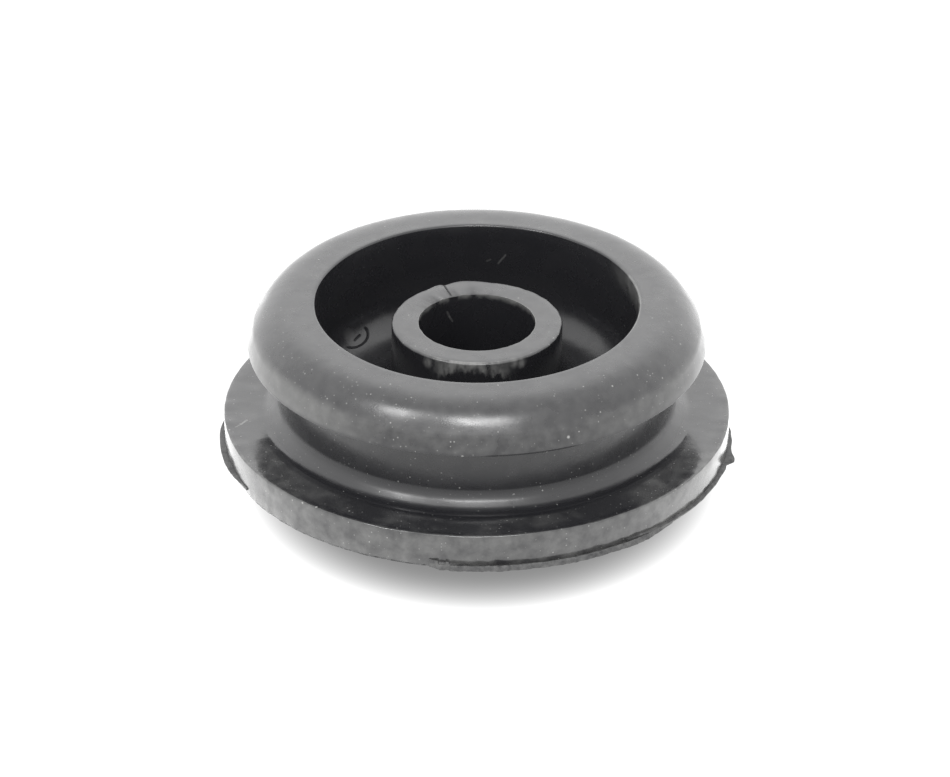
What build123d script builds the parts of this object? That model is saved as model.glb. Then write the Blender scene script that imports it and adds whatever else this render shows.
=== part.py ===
from build123d import *
from math import cos, radians, sin, tan
import os

# Radiator mount insert: a one-piece moulded rubber bush that snaps into a round hole in a
# bracket and takes the locating pin of a radiator.
#
# From the foot upwards it has a round flange, a narrower neck that the bracket's sheet sits
# around, and a bulging head that has to be squeezed through the hole and then holds behind it.
# The head is open at the top: a deep ring-shaped well with a round bottom leaves a tall boss
# in the middle, and the pin's bore runs down through the boss and out of the foot.
#
# Millimetres, +Z up along the bore, origin on the bore's axis at the face of the foot.

# ---- flange -----------------------------------------------------------------------------
flange_diameter = 52.0
flange_thickness = 3.8
flange_top_bevel = 0.2           # broken outer edge of the flange's upper face
foot_draft = 0.1                 # how far the wall draws in below the parting line
foot_bevel = 0.15                # broken outer edge of the foot

# ---- neck -------------------------------------------------------------------------------
neck_diameter = 40.2
neck_height = 7.75               # clear height between the flange and the head
neck_root_fillet = 2.0           # hollow corner on the flange
neck_top_bevel = 0.6             # sloping corner under the head

# ---- head -------------------------------------------------------------------------------
lip_diameter = 47.0              # widest place, the edge that holds behind the bracket
lip_bevel = 0.18
cheek_height = 1.98              # steep band above the lip, up to the crease
cheek_draw = 0.56                # how far that band leans in, on the radius
head_rise = 2.8                  # from the crease up to the rim of the well
crown_slope = 2.0                # fall of the crown's nearly level top, in degrees
shoulder_share = 0.64            # share of the crown's width that is rounded over

# ---- well, boss and bore ----------------------------------------------------------------
well_diameter = 33.2
well_depth = 10.8                # down to the lowest place of its round bottom
well_bottom_bends = 8            # bends that the round bottom is made of
rim_bevel = 0.15                 # inner edge of the crown
boss_diameter = 17.4
boss_drop = 2.33                 # how far the boss ends below the rim
boss_bevel = 0.15
bore_diameter = 12.0

# ---- flash on the parting line ----------------------------------------------------------
parting_height = 0.65            # the mould's parting line, above the foot
flash_reach = 0.45               # how far the fin stands out of the flange
flash_root = 0.3                 # thickness of the fin at the flange
flash_tip = 0.12                 # thickness of the fin at its torn edge
flash_seat = 0.5                 # how far the fin's root runs into the flange
left_flash_start = 171.0         # angles about the bore, in degrees from +X
left_flash_end = 205.0
right_flash_start = 258.0
right_flash_end = 367.0
whisker_angle = 349.0            # one thread of flash that was not torn off
whisker_reach = 1.05
whisker_width = 1.1

# ---- heights that follow from the sizes above -------------------------------------------
flange_radius = flange_diameter / 2
foot_radius = flange_radius - foot_draft
neck_radius = neck_diameter / 2
lip_radius = lip_diameter / 2
well_radius = well_diameter / 2
boss_radius = boss_diameter / 2
bore_radius = bore_diameter / 2
crease_radius = lip_radius - cheek_draw

lip_height = flange_thickness + neck_height
crease_height = lip_height + cheek_height
rim_height = crease_height + head_rise
boss_height = rim_height - boss_drop

well_middle = (well_radius + boss_radius) / 2
well_round = (well_radius - boss_radius) / 2
well_wall_height = rim_height - well_depth + well_round


def shoulder_curve():
    """The round shoulder of the head, from the crown's level part down to the crease."""
    inner_radius = well_radius + rim_bevel
    crown_width = crease_radius - inner_radius
    start_radius = crease_radius - shoulder_share * crown_width
    slope = radians(crown_slope)
    start_height = rim_height - tan(slope) * (start_radius - inner_radius)
    return TangentArc(
        (start_radius, start_height),
        (crease_radius, crease_height),
        tangent=(cos(slope), -sin(slope)),
    )


def well_bottom_corners():
    """The well's round bottom as a few straight bands around it, from the boss to the head."""
    turn = 180 / well_bottom_bends
    reach = well_round / cos(radians(turn / 2))
    angles = [radians(turn * (bend + 0.5)) for bend in range(well_bottom_bends)]
    return [
        (well_middle - reach * cos(angle), well_wall_height - reach * sin(angle))
        for angle in angles
    ]


def corner_of(section, place):
    """The corner of a section that lies nearest to the given point."""
    return section.vertices().sort_by_distance(place)[0]


def half_section():
    """The bush cut along its axis: x is the radius, y the height above the foot."""
    with BuildSketch() as section:
        with BuildLine():
            shoulder = shoulder_curve()
            Polyline(
                shoulder @ 1,
                (lip_radius, lip_height),
                (neck_radius, lip_height),
                (neck_radius, flange_thickness),
                (flange_radius, flange_thickness),
                (flange_radius, parting_height),
                (foot_radius, 0),
                (bore_radius, 0),
                (bore_radius, boss_height),
                (boss_radius, boss_height),
                *well_bottom_corners(),
                (well_radius, rim_height - rim_bevel),
                (well_radius + rim_bevel, rim_height),
                shoulder @ 0,
            )
        make_face()
        fillet(corner_of(section, (neck_radius, flange_thickness)), neck_root_fillet)
        chamfer(corner_of(section, (neck_radius, lip_height)), neck_top_bevel)
        chamfer(corner_of(section, (lip_radius, lip_height)), lip_bevel)
        chamfer(corner_of(section, (flange_radius, flange_thickness)), flange_top_bevel)
        chamfer(corner_of(section, (foot_radius, 0)), foot_bevel)
        chamfer(corner_of(section, (boss_radius, boss_height)), boss_bevel)
    return section.sketch


def bush_body():
    """The bush itself, turned from its half section."""
    return revolve(Plane.XZ * half_section(), Axis.Z)


def flash_fin(start_angle, end_angle):
    """A thin fin of squeezed-out rubber on the parting line, between two angles."""
    inner = flange_radius - flash_seat
    outer = flange_radius + flash_reach
    fin = Polygon(
        (inner, parting_height - flash_root / 2),
        (outer, parting_height - flash_tip / 2),
        (outer, parting_height + flash_tip / 2),
        (inner, parting_height + flash_root / 2),
        align=None,
    )
    swept = revolve(Plane.XZ * fin, Axis.Z, end_angle - start_angle)
    return Rot(0, 0, start_angle) * swept


def flash_whisker():
    """The pointed thread of flash that is left standing out on one side."""
    root = flange_radius - flash_seat
    point = flange_radius + whisker_reach
    outline = Polygon(
        (root, -whisker_width / 2),
        (point, 0),
        (root, whisker_width / 2),
        align=None,
    )
    lowest = Plane.XY.offset(parting_height - flash_tip / 2)
    return Rot(0, 0, whisker_angle) * extrude(lowest * outline, flash_tip)


def mount_insert():
    """The whole moulding: the bush and the flash that stays on it."""
    left_flash = flash_fin(left_flash_start, left_flash_end)
    right_flash = flash_fin(right_flash_start, right_flash_end)
    return bush_body() + left_flash + right_flash + flash_whisker()


os.makedirs("parts", exist_ok=True)
export_step(mount_insert(), "parts/mount_insert.step")
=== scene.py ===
"""Radiator mount insert: the finished looks of a one-piece moulded rubber bush.

The file is laid out as an add-on and is run as a script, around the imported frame. Lengths are
in metres, +Z up along the bore, and the foot stands on the floor at height zero.
"""

import math

import bmesh
import bpy
from bpy.props import FloatProperty, IntProperty, PointerProperty, StringProperty
from mathutils import Matrix, Vector, geometry, noise


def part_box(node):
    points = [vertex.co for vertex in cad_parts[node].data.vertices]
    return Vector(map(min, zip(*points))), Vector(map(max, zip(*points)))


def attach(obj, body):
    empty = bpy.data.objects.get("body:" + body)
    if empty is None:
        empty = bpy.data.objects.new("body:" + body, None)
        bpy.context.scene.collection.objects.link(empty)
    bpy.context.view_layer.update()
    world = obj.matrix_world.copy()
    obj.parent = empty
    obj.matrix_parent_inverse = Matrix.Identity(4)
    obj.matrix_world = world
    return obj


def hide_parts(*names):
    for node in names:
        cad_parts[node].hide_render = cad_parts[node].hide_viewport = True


bl_info = {
    "name": "Radiator Mount Insert",
    "version": (1, 0, 0),
    "blender": (4, 5, 0),
    "location": "3D View > Sidebar > Mount Insert",
    "description": "Models a moulded rubber mount insert, its flash and its dust, on a studio table",
    "category": "Object",
}

MM = 0.001
NODE = "mount_insert"

# Swellings of the boss's top edge at the back: start, peak and end in degrees, size in millimetres.
BOSS_HUMPS = [(81.0, 101.0, 112.4, 0.33), (113.0, 115.6, 131.0, 0.27)]

# Talc smudges on the front of the boss, as centre and radius in millimetres.
BOSS_SMUDGES = [((-4.97, -7.14, 13.3), 0.9), ((3.7, -7.9, 13.55), 0.9), ((4.6, -7.5, 13.4), 0.8)]

# Scratches and rubbed streaks, as two ends, width and weight. The wide one is the pale patch that
# lies inside the well's tool mark.
SCRATCHES = [
    ((2.2, 16.45, 11.9), (2.95, 16.34, 12.95), 0.14, 0.05),
    ((1.0, 16.57, 12.1), (1.4, 16.54, 12.3), 0.14, 0.03),
    ((-24.7, -3.95, 3.8), (-24.15, -3.35, 3.8), 0.13, 0.1),
    ((-24.15, -3.35, 3.8), (-23.6, -2.5, 3.8), 0.17, 0.16),
    ((-13.1, 9.0, 7.35), (-13.0, 8.6, 7.55), 1.1, 0.03),
    ((-3.05, 5.17, 12.3), (-2.84, 5.28, 11.7), 0.16, 0.04),
    ((-2.84, 5.28, 11.7), (-2.53, 5.44, 11.1), 0.16, 0.04),
]

# Single grains of grit, as place and radius.
GRIT = [
    ((-1.06, -8.76, 14.0), 0.15),
    ((-6.27, -5.05, 14.0), 0.12),
    ((6.57, -6.0, 14.0), 0.12),
    ((7.81, -3.27, 14.0), 0.14),
    ((4.25, 5.16, 14.0), 0.14),
    ((17.88, -3.11, 16.28), 0.14),
    ((20.69, -6.65, 15.24), 0.16),
    ((18.78, -12.21, 14.39), 0.14),
    ((16.21, -13.81, 15.63), 0.13),
    ((13.66, -16.2, 15.69), 0.16),
    ((21.5, -8.61, 12.73), 0.12),
    ((22.15, -6.55, 12.97), 0.12),
    ((-6.24, -21.22, 14.76), 0.13),
    ((-1.42, -23.44, 11.6), 0.2),
    ((9.22, -21.26, 12.65), 0.25),
    ((12.44, -18.8, 14.16), 0.13),
    ((-8.69, -16.96, 16.26), 0.14),
    ((-17.59, -19.14, 3.65), 0.18),
    ((-16.15, -20.19, 3.8), 0.2),
    ((-12.81, -20.97, 3.8), 0.14),
    ((-25.34, -4.57, 3.8), 0.16),
    ((-25.67, -3.74, 3.8), 0.14),
    ((24.33, 2.85, 3.8), 0.12),
]

# Painted light: where the cheek's sides are painted paler, round the axis in radians, and by how much.
CHEEK_SIDE_LIGHT = [(-2.6, 0.07), (-0.55, 0.03)]

# Grains of grit on the left fin of flash, as place and radius.
FLASH_GRIT = [((-25.03, -9.57, 0.65), 0.2), ((-24.2, -11.5, 0.65), 0.2)]

# The knit line where the rubber met itself, across the back of the boss's top.
KNIT_LINE = [(-3.48, 8.1, 14.0), (-2.85, 6.18, 14.0), (-2.54, 5.3, 14.0)]

# The plain oval tool mark at the bottom of the well, with a dash inside it. Its line shows only on
# the side that MARK_FACING points to.
MARK_CENTRE = (-12.55, 9.3, 7.05)
MARK_ALONG = (0.613, 0.79, -0.04)
MARK_FACING = (0.93, -0.3, -0.2)
MARK_HALF_LENGTH = 1.95
MARK_HALF_WIDTH = 1.0
MARK_LINES = [((-12.1, 9.94, 6.91), (-12.67, 9.04, 6.8))]
MARK_LINE_WIDTH = 0.16
KNIT_LINE_WIDTH = 0.12

# Where finishes lie: nothing at the first value, all at the second. Radii and heights are in
# millimetres, and angles round the axis in radians.
CROWN_RADII = (16.65, 17.2)
HEAD_HEIGHTS = (11.4, 12.0)
CHEEK_HEIGHTS = (14.4, 13.4)
CHEEK_SIDES = (0.65, 0.2)
WALL_RADII = (25.6, 25.9)
WALL_TOP = (3.9, 3.7)
WALL_FOOT = (0.1, 0.3)
FLANGE_RADII = (22.4, 22.9)
FLANGE_HEIGHTS = (4.1, 3.9)
FLANGE_SIDES = (0.4, 0.1)
BOSS_TOP_RADII = (8.9, 8.6)
BOSS_TOP_HEIGHTS = (13.7, 13.95)
BOSS_WALL_OUTER = (9.3, 8.9)
BOSS_WALL_INNER = (8.3, 8.5)
BORE_RADII = (6.06, 6.02)
BORE_HEIGHTS = (13.25, 14.1)
WELL_OUTER = (16.9, 16.65)
WELL_INNER = (16.0, 16.5)
WELL_HEIGHTS = (13.2, 16.0)
WELL_SIDES = (0.65, 0.2)
OPEN_RADII = (16.6, 16.9)
POLISHED_RADII = (21.2, 21.8)
POLISHED_HEIGHTS = (4.2, 4.0)
ROOT_OUTER = (21.8, 21.2)
ROOT_INNER = (20.15, 20.4)
ROOT_HEIGHTS = (11.8, 11.3)

# The talc on the boss: its middle round the axis, its sides, the height of its lower edge in the
# middle, how fast that edge rises to the sides, and how softly it ends.
TALC_MIDDLE = -1.62
TALC_SIDES = (0.56, 0.3)
TALC_HEIGHT = 13.1
TALC_RISE = 3.4
TALC_BEND = 1.5
TALC_EDGE = (-0.4, 0.5)

# Painted shade: a dark line under the lip's edge on the right front, where the lip shades the neck. And the
# dark ragged edge of the foot.
LIP_SHADE_HEIGHT = 11.6
LIP_SHADE_WIDTH = (0.16, 0.08)
LIP_SHADE_MIDDLE = -1.33
LIP_SHADE_SIDES = (0.26, 0.16)
LIP_SHADE_RADII = (22.0, 22.5)
FOOT_HEIGHTS = (0.2, 0.1)
FOOT_RADII = (24.5, 25.0)

# Fine lines are this deep in millimetres, and this is added to the plain specular level in them.
LINE_DEPTH = 0.06
LINE_GLOSS = -0.42
PLAIN_GLOSS = 0.5

# How much rougher a full cover of dust makes the rubber, and the least roughness anywhere.
DUST_ROUGHNESS = 0.9
LEAST_ROUGHNESS = 0.06

# How thick dust and talc lie on each place, where one would hide the rubber. The flange side light is painted
# light, laid on like dust.
DUST = {
    "crown": 0.017,
    "wall": 0.062,
    "boss top": 0.02,
    "boss front": 0.13,
    "bore": 0.15,
    "well": 0.13,
    "cheek": 0.021,
    "flange side light": 0.03,
    "grit": 0.3,
}

# Specks of dust, as spacing and radius in millimetres, share that is kept and weight.
SPECKS = [(0.45, 0.1, 0.5, 0.2), (0.9, 0.11, 0.5, 0.35), (1.7, 0.13, 0.5, 0.5)]

# The painted shadow in the table's glow: its centre in millimetres, how much narrower it is than
# deep, and how its light rises from the dark middle.
SHADOW_CENTRE = (0.5, -7.0, 0.0)
SHADOW_NARROWING = (1.12, 1.0, 0.0)
SHADOW_CURVE = 2.2
SHADOW_DARKEST = 0.27
SHADOW_RISE = 0.88

# The tent and the table brighten from front to back between these parts of the light's direction
# along Y. Along Z they meet softly at the horizon, and dim round a line just below it.
TENT_SPAN = (-0.6, 1.0)
TABLE_SPAN = (-0.9, 0.9)
HORIZON_BLEND = 0.05
HORIZON_HEIGHT = -0.12
HORIZON_REACH = 0.4

# The softboxes, as turn and height in degrees and size as seen from the bush, in degrees too.
LAMPS = {"softbox_left": (-48.0, 46.0, (9, 13)), "softbox_middle": (1.0, 47.5, (23, 9))}

# The well's two bottom corners, rounded by a share of its width, and the narrow bands of finer mesh
# at the bore's and the boss's upper edges, in millimetres.
WELL_ROUND = 0.49
BORE_BAND = 0.35
BOSS_BAND = 0.9

# How finely the meshes are made. Rounds of more than LARGE_ROUND millimetres get more steps, and runs
# are split at LONGEST_EDGE millimetres. The flash's step and the sharp angle are in degrees.
LARGE_ROUND = 1.5
LARGE_ROUND_STEPS = 10
SMALL_ROUND_STEPS = 4
CROWN_POINTS = 20
LONGEST_EDGE = 1.5
FLASH_STEP = 0.2
SHARP_ANGLE = 50

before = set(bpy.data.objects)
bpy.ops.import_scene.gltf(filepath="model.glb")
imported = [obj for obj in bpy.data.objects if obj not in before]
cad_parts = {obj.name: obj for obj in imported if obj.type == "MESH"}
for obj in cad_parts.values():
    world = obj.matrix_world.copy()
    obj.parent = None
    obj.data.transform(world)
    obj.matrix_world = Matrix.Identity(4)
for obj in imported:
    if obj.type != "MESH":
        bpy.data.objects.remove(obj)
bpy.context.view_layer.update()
foot_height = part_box(NODE)[0][2]


def millimetres(name, description, default):
    """A length property whose default is given in millimetres."""
    return FloatProperty(
        name=name,
        description=description,
        default=default * MM,
        unit="LENGTH",
        precision=5,
    )


def degrees(name, description, default):
    """An angle property whose default is given in degrees."""
    return FloatProperty(
        name=name,
        description=description,
        default=math.radians(default),
        unit="ROTATION",
    )


def number(name, description, default):
    """A plain number property."""
    return FloatProperty(name=name, description=description, default=default)


# ---- the sizes and colours that a user would change -------------------------------------


class BushSizes(bpy.types.PropertyGroup):
    """Sizes of the bush itself."""

    flange_diameter: millimetres("Flange diameter", "Outside of the round foot", 52.0)
    flange_thickness: millimetres("Flange thickness", "Foot up to the flange's upper face", 3.8)
    flange_edge: millimetres("Flange edge", "Radius of the flange's two edges", 0.14)
    foot_draft: millimetres("Foot draft", "How far the wall draws in below the parting line", 0.1)
    neck_diameter: millimetres("Neck diameter", "The waist that the bracket's sheet sits around", 40.2)
    neck_height: millimetres("Neck height", "Clear height between flange and head", 7.75)
    root_reach: millimetres("Root reach", "How far the neck's sloped root runs out and up", 1.32)
    root_bend: millimetres("Root bend", "Radius of both ends of that slope", 1.75)
    neck_top: millimetres("Neck top", "Radius of the hollow corner under the head", 0.8)
    lip_diameter: millimetres("Lip diameter", "Widest place of the head", 47.0)
    lip_edge: millimetres("Lip edge", "Radius of the lip's edge", 0.08)
    cheek_height: millimetres("Cheek height", "Steep band above the lip, up to the crease", 1.98)
    cheek_draw: millimetres("Cheek draw", "How far that band leans in", 0.56)
    crease_edge: millimetres("Crease edge", "Radius of the crease between band and crown", 2.0)
    head_rise: millimetres("Head rise", "From the crease up to the rim", 2.8)
    crown_rim_angle: degrees("Crown angle at rim", "Slope of the crown at the well", 2.5)
    crown_crease_angle: degrees("Crown angle at crease", "Slope of the crown at the crease", 60.0)
    crown_fullness: number("Crown fullness", "The crown's end tangents, as a share of its width", 0.58)
    rim_edge: millimetres("Rim edge", "Radius of the crown's inner edge", 0.2)
    well_diameter: millimetres("Well diameter", "Outside of the ring-shaped well", 33.2)
    well_depth: millimetres("Well depth", "From the rim down to the well's lowest place", 10.8)
    boss_diameter: millimetres("Boss diameter", "The boss in the middle of the well", 17.48)
    boss_drop: millimetres("Boss drop", "How far the boss ends below the rim", 2.33)
    boss_edge: millimetres("Boss edge", "Radius of the boss's outer edge", 0.25)
    bore_diameter: millimetres("Bore diameter", "The hole for the locating pin", 12.0)
    edge_swing: millimetres("Edge swing", "How far the moulded edges wander", 0.07)
    crown_swing: millimetres("Crown swing", "How far the head's skin swells and sinks", 0.025)
    steps: IntProperty(name="Steps", description="Steps of the full turn", default=600, min=24)


class FlashSizes(bpy.types.PropertyGroup):
    """Sizes of the rubber that was squeezed out on the parting line."""

    left_start: degrees("Left start", "Start of the left fin", 167.0)
    left_end: degrees("Left end", "Broken end of the left fin", 205.5)
    apron_start: degrees("Apron start", "Ragged start of the thick apron in front", 259.5)
    apron_end: degrees("Apron end", "Where the apron has thinned to a fin", 320.0)
    right_start: degrees("Right start", "Start of the thin fin on the right", 306.0)
    right_end: degrees("Right end", "End of the thin fin on the right", 367.5)
    seat: millimetres("Seat", "How far the flash runs into the flange", 0.3)


class RubberFinish(bpy.types.PropertyGroup):
    """Colours of the moulded rubber, as sRGB hex values."""

    rubber: StringProperty(name="Rubber", description="Carbon-black rubber", default="171719")
    dust: StringProperty(name="Dust", description="Talc and dust on the rubber", default="B9B9B6")
    roughness: FloatProperty(
        name="Roughness",
        description="Roughness of the moulded faces",
        default=0.26,
        min=0.0,
        max=1.0,
        subtype="FACTOR",
    )
    flange_roughness: FloatProperty(
        name="Flange roughness",
        description="Roughness of the flange's polished upper face",
        default=0.13,
        min=0.0,
        max=1.0,
        subtype="FACTOR",
    )
    root_roughness: FloatProperty(
        name="Root roughness",
        description="Roughness of the neck's root and of the corner under the head",
        default=0.3,
        min=0.0,
        max=1.0,
        subtype="FACTOR",
    )


class StudioSettings(bpy.types.PropertyGroup):
    """The white table, its light and the camera."""

    table_size: millimetres("Table size", "Width of the white table", 1600.0)
    camera_distance: millimetres("Camera distance", "From the flange's upper face", 922.0)
    camera_height: degrees("Camera height", "Angle of the camera above the table", 29.58)
    camera_pitch: degrees("Camera pitch", "Downward turn away from the flange", -0.13)
    camera_turn: degrees("Camera turn", "Turn to the side, positive to the right", -0.0128)
    camera_roll: degrees("Camera roll", "Turn about the line of sight", 0.19)
    focal_length: number("Focal length", "Lens, in millimetres", 339.4)
    front_strength: number("Front strength", "Light of the tent's front", 2.35)
    back_strength: number("Back strength", "Light of the tent's back", 3.45)
    table_front: number("Table front", "Light of the table in front", 2.7)
    table_back: number("Table back", "Light of the table behind", 4.3)
    horizon_light: number("Horizon light", "Share of light left where table and tent meet", 0.62)
    shadow_core: millimetres("Shadow core", "Radius of the shadow's dark middle", 19.0)
    shadow_edge: millimetres("Shadow edge", "Radius where the shadow has faded out", 27.3)
    shade_radius: millimetres("Shade radius", "The dark patch that the foot stands on", 25.75)
    lamp_distance: millimetres("Lamp distance", "From the two softboxes to the bush", 900.0)
    lamp_strength: number("Lamp strength", "Light of the softboxes", 33.0)


# ---- small helpers ----------------------------------------------------------------------


def linear_colour(code):
    """The linear colour of an sRGB hex value."""
    channels = [int(code[i : i + 2], 16) / 255 for i in (0, 2, 4)]
    linear = [c / 12.92 if c <= 0.04045 else ((c + 0.055) / 1.055) ** 2.4 for c in channels]
    return (*linear, 1.0)


def add_node(tree, kind, settings=None, inputs=None):
    """Adds a node, sets its settings and fills its inputs with values or with other sockets."""
    node = tree.nodes.new(kind)
    for name, value in (settings or {}).items():
        setattr(node, name, value)
    for name, value in (inputs or {}).items():
        if isinstance(value, bpy.types.NodeSocket):
            tree.links.new(value, node.inputs[name])
        else:
            node.inputs[name].default_value = value
    return node


def put_together(tree, operation, values):
    """Sockets and numbers put together one after the other, as the result's socket."""
    result = values[0]
    for value in values[1:]:
        node = add_node(tree, "ShaderNodeMath", {"operation": operation}, {0: result, 1: value})
        result = node.outputs["Value"]
    return result


def new_object(bm, name):
    """Turns a bmesh into an object of the scene, with smooth faces."""
    for face in bm.faces:
        face.smooth = True
    mesh = bpy.data.meshes.new(name)
    bm.to_mesh(mesh)
    bm.free()
    mesh.set_sharp_from_angle(angle=math.radians(SHARP_ANGLE))
    piece = bpy.data.objects.new(name, mesh)
    bpy.context.scene.collection.objects.link(piece)
    return piece


def angle_of(point):
    """Angle of a point about the bore, from 0 to a full turn."""
    return math.atan2(point.y, point.x) % math.tau


def radius_of(point):
    """Distance of a point from the bore's axis."""
    return math.hypot(point.x, point.y)


def push_out(vertex, distance):
    """Moves a vertex away from the bore's axis."""
    radius = radius_of(vertex.co)
    factor = (radius + distance) / radius
    vertex.co.x *= factor
    vertex.co.y *= factor


def ease(value, start, end):
    """Zero at the start, one at the end, smooth between them and level beyond them."""
    share = min(1.0, max(0.0, (value - start) / (end - start)))
    return share * share * (3.0 - 2.0 * share)


def hump(value, start, peak, end):
    """One at the peak, easing to nothing at the start and at the end."""
    return ease(value, start, peak) if value < peak else ease(value, end, peak)


def swing(angle, waves, seed):
    """A smooth random swing between about -1 and 1, with so many waves round the part."""
    place = Vector((math.cos(angle), math.sin(angle), 0.0)) * waves / math.tau
    return 1.6 * noise.noise(place + Vector((0.0, 0.0, 7.3 * seed)))


# ---- the bush ---------------------------------------------------------------------------


def crown_points(sizes, heights):
    """The head's rounded top, from the rim of the well out and down to the crease."""
    rim = Vector((sizes.well_diameter / 2, 0, heights["rim"]))
    crease = Vector((heights["crease_radius"], 0, heights["crease"]))
    pull = sizes.crown_fullness * (crease.x - rim.x)
    rim_slope = sizes.crown_rim_angle
    crease_slope = sizes.crown_crease_angle
    rim_handle = rim + pull * Vector((math.cos(rim_slope), 0, -math.sin(rim_slope)))
    crease_handle = crease + pull * Vector((-math.cos(crease_slope), 0, math.sin(crease_slope)))
    return geometry.interpolate_bezier(rim, rim_handle, crease_handle, crease, CROWN_POINTS)


def level_heights(sizes):
    """Heights of the bush's levels above the foot, with the crease's radius."""
    lip = foot_height + sizes.flange_thickness + sizes.neck_height
    crease = lip + sizes.cheek_height
    rim = crease + sizes.head_rise
    return {
        "flange": foot_height + sizes.flange_thickness,
        "lip": lip,
        "crease": crease,
        "crease_radius": sizes.lip_diameter / 2 - sizes.cheek_draw,
        "rim": rim,
        "well": rim - sizes.well_depth,
        "boss": rim - sizes.boss_drop,
    }


def section_corners(sizes):
    """Corners of the half section as (radius, height, rounding), from the lip to the well's wall."""
    heights = level_heights(sizes)
    flange = sizes.flange_diameter / 2
    neck = sizes.neck_diameter / 2
    lip = sizes.lip_diameter / 2
    well = sizes.well_diameter / 2
    boss = sizes.boss_diameter / 2
    bore = sizes.bore_diameter / 2
    well_round = WELL_ROUND * (well - boss)
    return [
        (lip, heights["lip"], sizes.lip_edge),
        (neck, heights["lip"], sizes.neck_top),
        (neck, heights["flange"] + sizes.root_reach, sizes.root_bend),
        (neck + sizes.root_reach, heights["flange"], sizes.root_bend),
        (flange, heights["flange"], sizes.flange_edge),
        (flange - sizes.foot_draft, foot_height, sizes.flange_edge),
        (bore, foot_height, 0.0),
        (bore, heights["boss"], 0.0),
        (bore + BORE_BAND * MM, heights["boss"], 0.0),
        (boss - BOSS_BAND * MM, heights["boss"], 0.0),
        (boss, heights["boss"], sizes.boss_edge),
        (boss, heights["well"], well_round),
        (well, heights["well"], well_round),
    ]


def round_corner(bm, vertex, radius, segments):
    """Rounds one corner of a wire to a true radius."""
    before, after = [edge.other_vert(vertex).co - vertex.co for edge in vertex.link_edges]
    offset = radius / math.tan(before.angle(after) / 2)
    bmesh.ops.bevel(
        bm,
        geom=[vertex],
        offset=offset,
        offset_type="OFFSET",
        segments=segments,
        profile=0.5,
        affect="VERTICES",
        material=-1,
    )


def section_wire(sizes):
    """The bush's half section as a closed wire in the XZ plane."""
    bm = bmesh.new()
    crown = crown_points(sizes, level_heights(sizes))
    corners = section_corners(sizes)
    rounding = {0: sizes.rim_edge, len(crown) - 1: sizes.crease_edge}
    vertices = [bm.verts.new(point) for point in crown]
    for radius, height, edge in corners:
        rounding[len(vertices)] = edge
        vertices.append(bm.verts.new((radius, 0, height)))
    for here, there in zip(vertices, vertices[1:] + vertices[:1]):
        bm.edges.new((here, there))
    for index, edge in rounding.items():
        if edge > 0:
            large = edge > LARGE_ROUND * MM
            round_corner(bm, vertices[index], edge, LARGE_ROUND_STEPS if large else SMALL_ROUND_STEPS)
    return bm


def divide_long_edges(bm, longest):
    """Splits the wire's long straight runs, so that a bend in them stays smooth."""
    for edge in list(bm.edges):
        cuts = int(edge.calc_length() / longest)
        if cuts:
            bmesh.ops.subdivide_edges(bm, edges=[edge], cuts=cuts)


def turn_section(bm, steps):
    """Spins the half section round the bore into a closed body."""
    bmesh.ops.spin(
        bm,
        geom=bm.verts[:] + bm.edges[:],
        cent=(0, 0, 0),
        axis=(0, 0, 1),
        angle=math.tau,
        steps=steps,
        use_merge=True,
    )
    bmesh.ops.remove_doubles(bm, verts=bm.verts, dist=0.001 * MM)
    bmesh.ops.recalc_face_normals(bm, faces=bm.faces)


def shape_boss(bm, sizes):
    """Swells the back of the boss's top, where two humps stand on either side of a nick."""
    top = level_heights(sizes)["boss"]
    boss = sizes.boss_diameter / 2
    for vertex in bm.verts:
        depth = top - vertex.co.z
        if abs(radius_of(vertex.co) - boss) > 0.4 * MM or depth > 1.6 * MM:
            continue
        turn = math.degrees(angle_of(vertex.co))
        reach = sum(size * hump(turn, start, peak, end) for start, peak, end, size in BOSS_HUMPS)
        ragged = 0.5 * sizes.edge_swing * swing(math.radians(turn), 60, 1)
        push_out(vertex, (reach * MM + ragged) * ease(depth, 1.6 * MM, 0.3 * MM))


def shape_bore_edge(bm, sizes):
    """Wears the back of the bore's upper edge down unevenly, where a burr was torn off."""
    top = level_heights(sizes)["boss"]
    bore = sizes.bore_diameter / 2
    for vertex in bm.verts:
        if radius_of(vertex.co) > bore + 0.25 * MM or top - vertex.co.z > 0.3 * MM:
            continue
        angle = angle_of(vertex.co)
        worn = hump(math.degrees(angle), 50, 120, 175)
        ragged = 0.5 + 0.5 * swing(angle, 70, 2)
        vertex.co.z -= 0.22 * MM * worn * ragged
        push_out(vertex, sizes.edge_swing * (1.5 * worn * ragged + 0.3 * swing(angle, 50, 3)))


def shape_flange_edges(bm, sizes):
    """Lets the flange's two edges wander as trimmed rubber does."""
    edge = sizes.flange_diameter / 2 - 0.5 * MM
    top = level_heights(sizes)["flange"]
    for vertex in bm.verts:
        if radius_of(vertex.co) < edge:
            continue
        angle = angle_of(vertex.co)
        at_top = ease(vertex.co.z, top - 0.5 * MM, top - 0.1 * MM)
        at_foot = ease(vertex.co.z, foot_height + 0.6 * MM, foot_height + 0.1 * MM)
        slow = swing(angle, 24, 4)
        quick = swing(angle, 150, 5)
        vertex.co.z += at_top * sizes.edge_swing * (0.5 * slow + 0.35 * quick)
        push_out(vertex, at_top * sizes.edge_swing * 0.3 * (swing(angle, 30, 6) + swing(angle, 120, 7)))
        push_out(vertex, at_foot * sizes.edge_swing * (0.5 * slow + quick))


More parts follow.
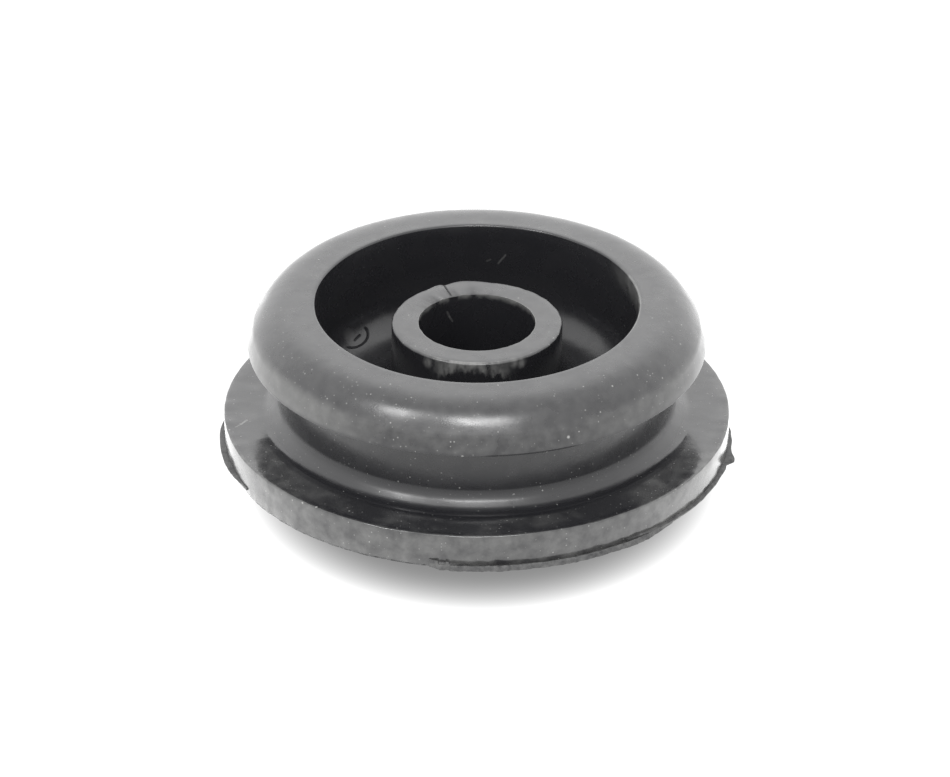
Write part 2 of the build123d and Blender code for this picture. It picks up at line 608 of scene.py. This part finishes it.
def shape_head(bm, sizes):
    """Lets the head's skin swell and sink a little, as soft rubber leaves its mould."""
    heights = level_heights(sizes)
    well = sizes.well_diameter / 2
    for vertex in bm.verts:
        if vertex.co.z < heights["lip"] or radius_of(vertex.co) < well - 0.1 * MM:
            continue
        wave = noise.noise(vertex.co / (5.0 * MM)) + 0.25 * noise.noise(vertex.co / (2.4 * MM))
        vertex.co += sizes.crown_swing * wave * Vector((vertex.co.x, vertex.co.y, 0.0)).normalized()
        vertex.co.z += sizes.crown_swing * wave * ease(vertex.co.z, heights["crease"], heights["rim"])


class MOUNT_OT_bush(bpy.types.Operator):
    """Add the turned body of the bush, with its uneven moulded edges"""

    bl_idname = "mount_insert.bush"
    bl_label = "Add Bush"

    def execute(self, context):
        sizes = context.scene.bush_sizes
        bm = section_wire(sizes)
        divide_long_edges(bm, LONGEST_EDGE * MM)
        turn_section(bm, sizes.steps)
        shape_boss(bm, sizes)
        shape_bore_edge(bm, sizes)
        shape_flange_edges(bm, sizes)
        shape_head(bm, sizes)
        bush = new_object(bm, "bush")
        bush.modifiers.new("weighted_normal", "WEIGHTED_NORMAL").keep_sharp = True
        bush.data.materials.append(moulded_rubber(context.scene.rubber_finish))
        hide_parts(NODE)
        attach(bush, "root")
        return {"FINISHED"}


# ---- the flash --------------------------------------------------------------------------


def swept_body(places, start, end):
    """A closed body with one section of (radius, height), swept between two angles."""
    bm = bmesh.new()
    section = [bm.verts.new((radius * MM, 0.0, foot_height + height * MM)) for radius, height in places]
    bm.faces.new(section)
    bmesh.ops.rotate(bm, verts=bm.verts, cent=(0, 0, 0), matrix=Matrix.Rotation(start, 3, "Z"))
    bmesh.ops.spin(
        bm,
        geom=bm.verts[:] + bm.edges[:] + bm.faces[:],
        cent=(0, 0, 0),
        axis=(0, 0, 1),
        angle=end - start,
        steps=round((end - start) / math.radians(FLASH_STEP)),
    )
    bmesh.ops.recalc_face_normals(bm, faces=bm.faces)
    return bm


def tear_fin(bm, flange, start, reach_at):
    """Gives a swept fin its torn reach, as a share that a function gives for each angle."""
    for vertex in bm.verts:
        reach = radius_of(vertex.co) - flange
        if reach <= 0.0:
            continue
        angle = start + (angle_of(vertex.co) - start + 1e-6) % math.tau
        share = max(0.02, reach_at(angle))
        push_out(vertex, (share - 1.0) * reach)
        vertex.co.z += sag_at(angle) * share * reach


def sag_at(angle):
    """How far a fin's torn edge waves up and down, as a share of its reach."""
    return 0.1 * swing(angle, 40, 8) + 0.05 * swing(angle, 170, 9)


def left_reach(angle):
    """The left fin grows from nothing at the side and breaks off in front of it."""
    turn = math.degrees(angle)
    broken = 0.6 * ease(turn, 204.0, 193.0) + 0.4 * ease(turn, 205.4, 198.0)
    whole = ease(turn, 165.0, 180.0) * broken
    torn = ease(turn, 190.0, 200.0)
    return whole * (1.0 + 0.03 * swing(angle, 90, 10) + 0.14 * torn * swing(angle, 300, 11))


def right_reach(angle):
    """The right fin is low, and one torn flap stands out of it."""
    turn = math.degrees(angle)
    low = 0.55 * ease(turn, 306.0, 316.0) * (1.0 + 0.25 * swing(angle, 130, 12))
    flap = 1.35 * hump(turn, 347.4, 349.2, 355.0)
    return (low + flap) * ease(turn, 367.5, 362.0)


def apron_reach(angle):
    """The apron starts ragged, in torn lumps, and thins out into the right fin."""
    turn = math.degrees(angle)
    start = ease(turn, 259.5, 262.5) * (1.0 - 0.3 * hump(turn, 262.6, 263.6, 264.6))
    ragged = 1.0 + 0.14 * swing(angle, 140, 13) + 0.12 * swing(angle, 420, 14)
    return start * ease(turn, 320.0, 309.0) * ragged


def flash_bodies(sizes, flange):
    """The three stretches of flash, as a name and a closed body for each."""
    inner = (flange - sizes.seat) / MM
    wall = flange / MM
    left = swept_body(
        [(inner, 0.5), (wall, 0.5), (wall + 0.48, 0.58), (wall + 0.48, 0.68), (wall, 0.8), (inner, 0.8)],
        sizes.left_start,
        sizes.left_end,
    )
    tear_fin(left, flange, sizes.left_start, left_reach)
    right = swept_body(
        [(inner, 0.1), (wall, 0.12), (wall + 0.5, 0.42), (wall + 0.5, 0.54), (wall, 0.64), (inner, 0.66)],
        sizes.right_start,
        sizes.right_end,
    )
    tear_fin(right, flange, sizes.right_start, right_reach)
    apron = swept_body(
        [
            (inner, 0.03),
            (wall + 0.55, 0.03),
            (wall + 0.5, 0.2),
            (wall + 0.46, 0.46),
            (wall + 0.36, 0.57),
            (wall + 0.24, 0.55),
            (wall + 0.12, 0.36),
            (inner, 0.36),
        ],
        sizes.apron_start,
        sizes.apron_end,
    )
    tear_fin(apron, flange, sizes.apron_start, apron_reach)
    for vertex in apron.verts:
        low = vertex.co.z < foot_height + 0.2 * MM
        turn = math.degrees(angle_of(vertex.co))
        if not low and radius_of(vertex.co) < flange + 0.2 * MM:
            vertex.co.z += 0.35 * MM * ease(turn, 270.0, 262.0)
        vertex.co.z = max(vertex.co.z, foot_height + 0.02 * MM)
    return {"flash_left": left, "flash_right": right, "flash_apron": apron}


class MOUNT_OT_flash(bpy.types.Operator):
    """Add the torn flash on the flange's parting line"""

    bl_idname = "mount_insert.flash"
    bl_label = "Add Flash"

    def execute(self, context):
        flange = context.scene.bush_sizes.flange_diameter / 2
        for name, bm in flash_bodies(context.scene.flash_sizes, flange).items():
            piece = new_object(bm, name)
            piece.data.materials.append(torn_rubber(context.scene.rubber_finish))
            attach(piece, "root")
        return {"FINISHED"}


# ---- materials --------------------------------------------------------------------------


def smooth_mask(tree, value, limits):
    """Zero where a socket is at the first limit, easing to one at the second."""
    inputs = {"Value": value, "From Min": limits[0], "From Max": limits[1]}
    mask = add_node(tree, "ShaderNodeMapRange", {"interpolation_type": "SMOOTHSTEP"}, inputs)
    return mask.outputs["Result"]


def both(tree, *masks):
    """Where all of the masks overlap. A number among them weakens the result."""
    return put_together(tree, "MULTIPLY", masks)


def layered(tree, *layers):
    """Layers that lie on each other."""
    return put_together(tree, "ADD", layers)


def either(tree, *masks):
    """Where any of the masks lies."""
    return put_together(tree, "MAXIMUM", masks)


def away_from(tree, value, middle):
    """How far a socket is from a middle value, to either side."""
    offset = put_together(tree, "SUBTRACT", (value, middle))
    return add_node(tree, "ShaderNodeMath", {"operation": "ABSOLUTE"}, {0: offset}).outputs["Value"]


def spot(tree, place, centre, radius, core=0.1):
    """A soft round patch about a point, in millimetres, with an even core of a share of it."""
    apart = add_node(tree, "ShaderNodeVectorMath", {"operation": "DISTANCE"}, {0: place, 1: centre})
    return smooth_mask(tree, apart.outputs["Value"], (radius, core * radius))


def streak(tree, place, start, end, width):
    """A soft straight streak between two points, in millimetres."""
    start, end = Vector(start), Vector(end)
    along = end - start
    offset = add_node(tree, "ShaderNodeVectorMath", {"operation": "SUBTRACT"}, {0: place, 1: start})
    offset = offset.outputs["Vector"]
    dot = add_node(tree, "ShaderNodeVectorMath", {"operation": "DOT_PRODUCT"}, {0: offset, 1: along})
    limits = {"Value": dot.outputs["Value"], "From Min": 0.0, "From Max": along.length_squared}
    part = add_node(tree, "ShaderNodeMapRange", None, limits).outputs["Result"]
    nearest = add_node(tree, "ShaderNodeVectorMath", {"operation": "SCALE"}, {0: along, "Scale": part})
    nearest = nearest.outputs["Vector"]
    apart = add_node(tree, "ShaderNodeVectorMath", {"operation": "DISTANCE"}, {0: offset, 1: nearest})
    return smooth_mask(tree, apart.outputs["Value"], (width, 0.3 * width))


def grain(tree, place, size, detail, span=None, levels=None):
    """Noise with features of a size in millimetres, a span of it stretched to levels where given."""
    settings = {"Vector": place, "Scale": 1.0 / size, "Detail": detail, "Roughness": 0.55}
    pattern = add_node(tree, "ShaderNodeTexNoise", None, settings).outputs["Fac"]
    if span is None:
        return pattern
    limits = {"From Min": span[0], "From Max": span[1], "To Min": levels[0], "To Max": levels[1]}
    return add_node(tree, "ShaderNodeMapRange", None, {"Value": pattern, **limits}).outputs["Result"]


def specks(tree, place, spacing, radius, share):
    """Scattered round specks: their spacing, their radius and the share that is kept."""
    cells = add_node(
        tree,
        "ShaderNodeTexVoronoi",
        {"feature": "F1"},
        {"Vector": place, "Scale": 1.0 / spacing, "Randomness": 1.0},
    )
    chance = add_node(tree, "ShaderNodeSeparateXYZ", None, {"Vector": cells.outputs["Color"]})
    kept = add_node(tree, "ShaderNodeMath", {"operation": "LESS_THAN"}, {0: chance.outputs["X"], 1: share})
    limits = {"To Min": 0.4 * radius / spacing, "To Max": radius / spacing}
    size = add_node(tree, "ShaderNodeMapRange", None, {"Value": chance.outputs["Y"], **limits})
    depth = put_together(tree, "SUBTRACT", (size.outputs["Result"], cells.outputs["Distance"]))
    shape = smooth_mask(tree, depth, (0.0, 0.35 * radius / spacing))
    limits = {"To Min": 0.25, "To Max": 1.0}
    weight = add_node(tree, "ShaderNodeMapRange", None, {"Value": chance.outputs["Z"], **limits})
    return both(tree, shape, kept.outputs["Value"], weight.outputs["Result"])


def boss_talc(tree, place, radius, height, turn):
    """Talc left on the front of the boss, in rays that run down from its top edge."""
    off_centre = away_from(tree, turn, TALC_MIDDLE)
    sides = smooth_mask(tree, off_centre, TALC_SIDES)
    bent = put_together(tree, "POWER", (off_centre, TALC_BEND))
    bent = put_together(tree, "MULTIPLY", (bent, TALC_RISE))
    above = layered(tree, put_together(tree, "SUBTRACT", (height, TALC_HEIGHT)), bent)
    drawn = add_node(
        tree,
        "ShaderNodeCombineXYZ",
        None,
        {
            "X": put_together(tree, "MULTIPLY", (turn, 9.0)),
            "Y": put_together(tree, "MULTIPLY", (height, 0.5)),
        },
    ).outputs["Vector"]
    cloud = grain(tree, drawn, 1.1, 5.0, (0.36, 0.6), (0.12, 1.2))
    on_boss = both(
        tree,
        smooth_mask(tree, radius, BOSS_WALL_OUTER),
        smooth_mask(tree, radius, BOSS_WALL_INNER),
    )
    frayed = grain(tree, drawn, 0.5, 3.0, (0.3, 0.7), (-0.5, 0.5))
    talc = both(tree, sides, smooth_mask(tree, layered(tree, above, frayed), TALC_EDGE), on_boss)
    for centre, size in BOSS_SMUDGES:
        talc = either(tree, talc, spot(tree, place, centre, size))
    return both(tree, talc, cloud, DUST["boss front"])


def dust_and_side_light(tree, place, radius, height, turn):
    """How much pale dust and mould talc lies on the rubber, from none to all, with painted light on the
    cheek's and the flange's sides.
    """
    mottle = grain(tree, place, 1.3, 4.0, (0.3, 0.7), (0.35, 1.65))
    crown = both(tree, smooth_mask(tree, radius, CROWN_RADII), smooth_mask(tree, height, HEAD_HEIGHTS))
    wall = both(tree, smooth_mask(tree, radius, WALL_RADII), smooth_mask(tree, height, WALL_TOP))
    wall = both(tree, wall, smooth_mask(tree, height, WALL_FOOT))
    boss_top = both(
        tree,
        smooth_mask(tree, radius, BOSS_TOP_RADII),
        smooth_mask(tree, height, BOSS_TOP_HEIGHTS),
    )
    haze_and_side_light = both(tree, crown, mottle, DUST["crown"])
    haze_and_side_light = layered(tree, haze_and_side_light, both(tree, wall, mottle, DUST["wall"]))
    haze_and_side_light = layered(tree, haze_and_side_light, both(tree, boss_top, mottle, DUST["boss top"]))

    # Clean patches and smears alternate on the flange's upper face.
    flange = both(tree, smooth_mask(tree, radius, FLANGE_RADII), smooth_mask(tree, height, FLANGE_HEIGHTS))
    smears = grain(tree, place, 4.0, 4.0, (0.5, 0.68), (0.0, 0.035))
    haze_and_side_light = layered(tree, haze_and_side_light, both(tree, flange, smears))
    haze_and_side_light = layered(tree, haze_and_side_light, boss_talc(tree, place, radius, height, turn))

    # The bore's upper edge and the right of the well are dusty where fingers don't reach.
    frayed = grain(tree, place, 0.9, 3.0, (0.25, 0.75), (-0.25, 0.25))
    level = layered(tree, height, frayed)
    bore = both(tree, smooth_mask(tree, radius, BORE_RADII), smooth_mask(tree, level, BORE_HEIGHTS))
    haze_and_side_light = layered(tree, haze_and_side_light, both(tree, bore, DUST["bore"]))
    from_right = add_node(tree, "ShaderNodeMath", {"operation": "ABSOLUTE"}, {0: turn}).outputs["Value"]
    right = both(tree, smooth_mask(tree, from_right, WELL_SIDES), mottle)
    inside = both(tree, smooth_mask(tree, radius, WELL_OUTER), smooth_mask(tree, radius, WELL_INNER))
    well = both(tree, right, inside, smooth_mask(tree, height, WELL_HEIGHTS))
    haze_and_side_light = layered(tree, haze_and_side_light, both(tree, well, DUST["well"]))

    # The head's cheek is hazy all round. Its two sides in front are painted paler, the left one more, and the
    # flange below them too: painted light where light falls on these sides.
    cheek = both(tree, smooth_mask(tree, height, CHEEK_HEIGHTS), crown)
    haze_and_side_light = layered(tree, haze_and_side_light, both(tree, cheek, mottle, DUST["cheek"]))
    for middle, weight in CHEEK_SIDE_LIGHT:
        away = away_from(tree, turn, middle)
        haze_and_side_light = layered(tree, haze_and_side_light, both(tree, cheek, smooth_mask(tree, away, CHEEK_SIDES), weight))
        side = smooth_mask(tree, away, FLANGE_SIDES)
        haze_and_side_light = layered(tree, haze_and_side_light, both(tree, flange, side, mottle, DUST["flange side light"]))

    for start, end, width, weight in SCRATCHES:
        haze_and_side_light = layered(tree, haze_and_side_light, both(tree, streak(tree, place, start, end, width), weight))
    dots = [both(tree, specks(tree, place, *sizes), weight) for *sizes, weight in SPECKS]
    in_the_open = either(tree, smooth_mask(tree, radius, OPEN_RADII), boss_top)
    haze_and_side_light = layered(tree, haze_and_side_light, both(tree, layered(tree, *dots), in_the_open))
    for centre, size in GRIT:
        grit = both(tree, spot(tree, place, centre, 0.9 * size, 0.2), DUST["grit"])
        haze_and_side_light = layered(tree, haze_and_side_light, grit)
    return add_node(tree, "ShaderNodeClamp", None, {"Value": haze_and_side_light}).outputs["Result"]


def tool_mark(tree, place):
    """The plain oval in the well, cut only on the side towards the boss, with its dash."""
    offset = add_node(tree, "ShaderNodeVectorMath", {"operation": "SUBTRACT"}, {0: place, 1: MARK_CENTRE})
    offset = offset.outputs["Vector"]
    inputs = {0: offset, 1: MARK_ALONG}
    along = add_node(tree, "ShaderNodeVectorMath", {"operation": "DOT_PRODUCT"}, inputs)
    narrowing = MARK_HALF_WIDTH / MARK_HALF_LENGTH - 1.0
    inputs = {0: MARK_ALONG, "Scale": put_together(tree, "MULTIPLY", (along.outputs["Value"], narrowing))}
    shift = add_node(tree, "ShaderNodeVectorMath", {"operation": "SCALE"}, inputs).outputs["Vector"]
    rounded = add_node(tree, "ShaderNodeVectorMath", {"operation": "ADD"}, {0: offset, 1: shift})
    rounded = rounded.outputs["Vector"]
    apart = add_node(tree, "ShaderNodeVectorMath", {"operation": "LENGTH"}, {0: rounded})
    ring = away_from(tree, apart.outputs["Value"], MARK_HALF_WIDTH)
    inputs = {0: rounded, 1: MARK_FACING}
    facing = add_node(tree, "ShaderNodeVectorMath", {"operation": "DOT_PRODUCT"}, inputs)
    cut = smooth_mask(tree, facing.outputs["Value"], (-0.1, 0.3))
    lines = both(tree, smooth_mask(tree, ring, (0.13, 0.03)), cut)
    for start, end in MARK_LINES:
        lines = either(tree, lines, streak(tree, place, start, end, MARK_LINE_WIDTH))
    return lines


def fine_lines(tree, place, radius, height, turn):
    """Where the tool mark, the painted shade line under the lip, the foot's edge and the knit line run, as a
    mask.
    """
    lines = tool_mark(tree, place)
    # Painted shade under the lip's edge, on the right front: this band loses its gloss, which darkens it.
    level = away_from(tree, height, LIP_SHADE_HEIGHT)
    away = away_from(tree, turn, LIP_SHADE_MIDDLE)
    crease = both(tree, smooth_mask(tree, level, LIP_SHADE_WIDTH), smooth_mask(tree, away, LIP_SHADE_SIDES))
    lines = either(tree, lines, both(tree, crease, smooth_mask(tree, radius, LIP_SHADE_RADII)))
    frayed = grain(tree, place, 0.7, 3.0, (0.3, 0.7), (-0.08, 0.08))
    foot = smooth_mask(tree, layered(tree, height, frayed), FOOT_HEIGHTS)
    lines = either(tree, lines, both(tree, foot, smooth_mask(tree, radius, FOOT_RADII)))
    for start, end in zip(KNIT_LINE, KNIT_LINE[1:]):
        lines = either(tree, lines, streak(tree, place, start, end, KNIT_LINE_WIDTH))
    return lines


def mould_relief(tree, place, lines):
    """Height of the moulded skin's fine relief, in metres."""
    skin = put_together(tree, "MULTIPLY", (grain(tree, place, 0.5, 3.0), 0.006 * MM))
    waves = put_together(tree, "MULTIPLY", (grain(tree, place, 3.5, 1.0), 0.05 * MM))
    sunk = put_together(tree, "MULTIPLY", (lines, LINE_DEPTH * MM))
    return put_together(tree, "SUBTRACT", (layered(tree, skin, waves), sunk))


def rubber_base(name):
    """A new material with its shader, and the place on the part in millimetres."""
    material = bpy.data.materials.new(name)
    material.use_nodes = True
    tree = material.node_tree
    metres = add_node(tree, "ShaderNodeTexCoord").outputs["Object"]
    scaled = add_node(tree, "ShaderNodeVectorMath", {"operation": "SCALE"}, {0: metres, "Scale": 1 / MM})
    return material, tree.nodes["Principled BSDF"], scaled.outputs["Vector"]


def dusty_colour(tree, shader, dust, finish):
    """Shows the dust's colour over the rubber's, by how thick it lies; painted light is laid on in the same
    colour.
    """
    colours = {"Factor": dust, "A": linear_colour(finish.rubber), "B": linear_colour(finish.dust)}
    colour = add_node(tree, "ShaderNodeMix", {"data_type": "RGBA"}, colours)
    shown = next(output for output in colour.outputs if output.type == "RGBA")
    tree.links.new(shown, shader.inputs["Base Color"])


def surface_relief(tree, shader, height):
    """Lets the light follow a relief that is given as a height in metres."""
    bump = add_node(tree, "ShaderNodeBump", None, {"Distance": 1.0, "Height": height})
    tree.links.new(bump.outputs["Normal"], shader.inputs["Normal"])


def mould_polish(tree, place, radius, height, finish):
    """What the mould's own polish adds to the roughness: less on the flange, more at the root."""
    on_flange = both(
        tree,
        smooth_mask(tree, radius, POLISHED_RADII),
        smooth_mask(tree, height, POLISHED_HEIGHTS),
    )
    at_root = both(tree, smooth_mask(tree, radius, ROOT_OUTER), smooth_mask(tree, radius, ROOT_INNER))
    under_head = smooth_mask(tree, height, ROOT_HEIGHTS)
    uneven = grain(tree, place, 2.2, 3.0, (0.3, 0.7), (-0.03, 0.05))
    inputs = {0: on_flange, 1: finish.flange_roughness - finish.roughness, 2: uneven}
    polish = add_node(tree, "ShaderNodeMath", {"operation": "MULTIPLY_ADD"}, inputs).outputs["Value"]
    return layered(tree, polish, both(tree, at_root, under_head, finish.root_roughness - finish.roughness))


def moulded_rubber(finish):
    """Carbon-black EPDM from a compression mould: a satin skin that dust and talc turn grey."""
    name = "moulded_epdm_rubber"
    if name in bpy.data.materials:
        return bpy.data.materials[name]
    material, shader, place = rubber_base(name)
    tree = material.node_tree
    shader.inputs["IOR"].default_value = 1.5
    axes = add_node(tree, "ShaderNodeSeparateXYZ", None, {"Vector": place}).outputs
    height = axes["Z"]
    flat = add_node(tree, "ShaderNodeCombineXYZ", None, {"X": axes["X"], "Y": axes["Y"]})
    inputs = {0: flat.outputs["Vector"]}
    radius = add_node(tree, "ShaderNodeVectorMath", {"operation": "LENGTH"}, inputs).outputs["Value"]
    turn = put_together(tree, "ARCTAN2", (axes["Y"], axes["X"]))
    # This cover also carries the painted light on the cheek's and the flange's sides.
    dust = dust_and_side_light(tree, place, radius, height, turn)
    dusty_colour(tree, shader, dust, finish)

    # Dust, and the painted side light with it, scatters the gloss.
    inputs = {0: dust, 1: DUST_ROUGHNESS, 2: finish.roughness}
    dulled = add_node(tree, "ShaderNodeMath", {"operation": "MULTIPLY_ADD"}, inputs).outputs["Value"]
    dulled = layered(tree, dulled, mould_polish(tree, place, radius, height, finish))
    tree.links.new(either(tree, dulled, LEAST_ROUGHNESS), shader.inputs["Roughness"])

    # The fine lines, with the painted shade under the lip, lose most of their gloss.
    lines = fine_lines(tree, place, radius, height, turn)
    inputs = {0: lines, 1: LINE_GLOSS, 2: PLAIN_GLOSS}
    gloss = add_node(tree, "ShaderNodeMath", {"operation": "MULTIPLY_ADD"}, inputs).outputs["Value"]
    tree.links.new(gloss, shader.inputs["Specular IOR Level"])
    surface_relief(tree, shader, mould_relief(tree, place, lines))
    return material


def torn_rubber(finish):
    """Flash that was torn by hand: a matt black broken edge, with talc caught in its grain."""
    name = "torn_epdm_flash"
    if name in bpy.data.materials:
        return bpy.data.materials[name]
    material, shader, place = rubber_base(name)
    tree = material.node_tree
    shader.inputs["IOR"].default_value = 1.45
    shader.inputs["Roughness"].default_value = 0.62
    talc = grain(tree, place, 0.7, 4.0, (0.3, 0.7), (0.01, 0.1))
    dust = layered(tree, talc, both(tree, specks(tree, place, 1.1, 0.1, 0.4), 0.5))
    for centre, size in FLASH_GRIT:
        dust = layered(tree, dust, both(tree, spot(tree, place, centre, size, 0.3), 0.8))
    dusty_colour(tree, shader, dust, finish)
    rough = put_together(tree, "MULTIPLY", (grain(tree, place, 0.25, 3.0), 0.05 * MM))
    surface_relief(tree, shader, rough)
    return material


# ---- the stage --------------------------------------------------------------------------


def white_table(settings):
    """The over-lit white table: only the bush's painted soft shadow shows on it, in front of the foot."""
    bm = bmesh.new()
    bmesh.ops.create_grid(bm, x_segments=1, y_segments=1, size=settings.table_size / 2)
    table = new_object(bm, "table")
    table.location.z = foot_height
    table.visible_diffuse = False
    table.visible_glossy = False
    table.visible_transmission = False
    table.visible_shadow = False
    material = bpy.data.materials.new("white_table")
    material.use_nodes = True
    tree = material.node_tree
    tree.nodes.clear()
    place = add_node(tree, "ShaderNodeTexCoord").outputs["Object"]
    # Painted shadow: the glow dims in an oval round a point in front of the foot.
    centre = Vector(SHADOW_CENTRE) * MM
    offset = add_node(tree, "ShaderNodeVectorMath", {"operation": "SUBTRACT"}, {0: place, 1: centre})
    narrowed = add_node(
        tree,
        "ShaderNodeVectorMath",
        {"operation": "MULTIPLY"},
        {0: offset.outputs["Vector"], 1: SHADOW_NARROWING},
    )
    reach = add_node(
        tree,
        "ShaderNodeVectorMath",
        {"operation": "LENGTH"},
        {0: narrowed.outputs["Vector"]},
    )
    limits = {"From Min": settings.shadow_core, "From Max": settings.shadow_edge}
    rise = add_node(tree, "ShaderNodeMapRange", None, {"Value": reach.outputs["Value"], **limits})
    bent = put_together(tree, "POWER", (rise.outputs["Result"], SHADOW_CURVE))
    inputs = {0: bent, 1: SHADOW_RISE, 2: SHADOW_DARKEST}
    light = add_node(tree, "ShaderNodeMath", {"operation": "MULTIPLY_ADD"}, inputs).outputs["Value"]
    glow = add_node(tree, "ShaderNodeEmission", None, {"Strength": light})
    add_node(tree, "ShaderNodeOutputMaterial", None, {"Surface": glow.outputs["Emission"]})
    table.data.materials.append(material)


def foot_shade(settings):
    """Painted shade: a black disc under the table's top, unseen by the camera: the bush sees it as shaded
    table, and no light reaches the bush from below its foot.
    """
    bm = bmesh.new()
    bmesh.ops.create_circle(bm, cap_ends=True, segments=96, radius=settings.shade_radius)
    shade = new_object(bm, "foot_shade")
    shade.location.z = foot_height - 0.3 * MM
    shade.visible_camera = False
    material = bpy.data.materials.new("foot_shade")
    material.use_nodes = True
    tree = material.node_tree
    tree.nodes.clear()
    dark = add_node(tree, "ShaderNodeBsdfDiffuse", None, {"Color": (0.01, 0.01, 0.01, 1.0)})
    add_node(tree, "ShaderNodeOutputMaterial", None, {"Surface": dark.outputs["BSDF"]})
    shade.data.materials.append(material)


def white_tent(settings):
    """White light from all round, brighter from the back than from the front."""
    world = bpy.data.worlds.new("tent")
    world.use_nodes = True
    tree = world.node_tree
    tree.nodes.clear()
    place = add_node(tree, "ShaderNodeTexCoord")
    parts = add_node(tree, "ShaderNodeSeparateXYZ", None, {"Vector": place.outputs["Generated"]})
    levels = []
    for span, low, high in (
        (TABLE_SPAN, settings.table_front, settings.table_back),
        (TENT_SPAN, settings.front_strength, settings.back_strength),
    ):
        limits = {"From Min": span[0], "From Max": span[1], "To Min": low, "To Max": high}
        level = add_node(tree, "ShaderNodeMapRange", None, {"Value": parts.outputs["Y"], **limits})
        levels.append(level.outputs["Result"])
    limits = {"From Min": -HORIZON_BLEND, "From Max": HORIZON_BLEND, "To Min": levels[0], "To Max": levels[1]}
    light = add_node(tree, "ShaderNodeMapRange", None, {"Value": parts.outputs["Z"], **limits})
    limits = {"From Min": 0.0, "From Max": HORIZON_REACH, "To Min": settings.horizon_light, "To Max": 1.0}
    limits["Value"] = away_from(tree, parts.outputs["Z"], HORIZON_HEIGHT)
    dip = add_node(tree, "ShaderNodeMapRange", {"interpolation_type": "SMOOTHSTEP"}, limits)
    strength = put_together(tree, "MULTIPLY", (light.outputs["Result"], dip.outputs["Result"]))
    glow = add_node(tree, "ShaderNodeBackground", None, {"Strength": strength})
    add_node(tree, "ShaderNodeOutputWorld", None, {"Surface": glow.outputs["Background"]})
    bpy.context.scene.world = world


def add_lamp(name, turn, height, size, settings):
    """A softbox that faces the bush, turned away from the camera and raised, with angles in degrees."""
    lamp = bpy.data.lights.new(name, "AREA")
    lamp.shape = "RECTANGLE"
    lamp.size, lamp.size_y = [settings.lamp_distance * math.radians(angle) for angle in size]
    lamp.energy = settings.lamp_strength * math.pi * lamp.size * lamp.size_y
    turn, height = math.radians(turn), math.radians(height)
    level = math.cos(height)
    towards = Vector((math.sin(turn) * level, -math.cos(turn) * level, math.sin(height)))
    lamp_object = bpy.data.objects.new(name, lamp)
    lamp_object.location = towards * settings.lamp_distance
    lamp_object.rotation_euler = towards.to_track_quat("Z", "Y").to_euler()
    bpy.context.scene.collection.objects.link(lamp_object)


def add_camera(settings):
    """The camera in front of the bush, looking down at it through a long lens."""
    flange_top = foot_height + bpy.context.scene.bush_sizes.flange_thickness
    height = settings.camera_height
    place = settings.camera_distance * Vector((0, -math.cos(height), math.sin(height)))
    place.z += flange_top
    down = height + settings.camera_pitch
    side = settings.camera_turn
    forward = Vector((math.sin(side) * math.cos(down), math.cos(side) * math.cos(down), -math.sin(down)))
    right = Vector((math.cos(side), -math.sin(side), 0))
    up = right.cross(forward)
    turned = Matrix((right, up, -forward)).transposed() @ Matrix.Rotation(settings.camera_roll, 3, "Z")
    camera = bpy.data.cameras.new("camera")
    camera.sensor_width = 36
    camera.lens = settings.focal_length
    camera.clip_end = 10
    camera_object = bpy.data.objects.new("camera", camera)
    camera_object.matrix_world = Matrix.Translation(place) @ turned.to_4x4()
    bpy.context.scene.collection.objects.link(camera_object)
    bpy.context.scene.camera = camera_object


class MOUNT_OT_studio(bpy.types.Operator):
    """Add the table, the lights and the camera"""

    bl_idname = "mount_insert.studio"
    bl_label = "Add Studio"

    def execute(self, context):
        settings = context.scene.studio_settings
        white_table(settings)
        foot_shade(settings)
        white_tent(settings)
        for name, (turn, height, size) in LAMPS.items():
            add_lamp(name, turn, height, size, settings)
        add_camera(settings)
        context.scene.view_settings.view_transform = "Standard"
        return {"FINISHED"}


# ---- panel, registration and the run ----------------------------------------------------


class MOUNT_PT_sidebar(bpy.types.Panel):
    """Lists the operators and the sizes that they use"""

    bl_label = "Mount Insert"
    bl_idname = "MOUNT_PT_sidebar"
    bl_space_type = "VIEW_3D"
    bl_region_type = "UI"
    bl_category = "Mount Insert"

    def draw(self, context):
        for operator, group in STEPS:
            box = self.layout.box()
            box.operator(operator)
            settings = getattr(context.scene, group)
            for name in settings.__annotations__:
                box.prop(settings, name)


GROUPS = {
    "bush_sizes": BushSizes,
    "flash_sizes": FlashSizes,
    "rubber_finish": RubberFinish,
    "studio_settings": StudioSettings,
}
STEPS = [
    ("mount_insert.bush", "bush_sizes"),
    ("mount_insert.flash", "flash_sizes"),
    ("mount_insert.studio", "studio_settings"),
]
CLASSES = [*GROUPS.values(), MOUNT_OT_bush, MOUNT_OT_flash, MOUNT_OT_studio, MOUNT_PT_sidebar]


def register():
    for item in CLASSES:
        bpy.utils.register_class(item)
    for name, group in GROUPS.items():
        setattr(bpy.types.Scene, name, PointerProperty(type=group))


def unregister():
    for name in GROUPS:
        delattr(bpy.types.Scene, name)
    for item in reversed(CLASSES):
        bpy.utils.unregister_class(item)


def main():
    register()
    bpy.ops.mount_insert.bush()
    bpy.ops.mount_insert.flash()
    bpy.ops.mount_insert.studio()


if __name__ == "__main__":
    main()
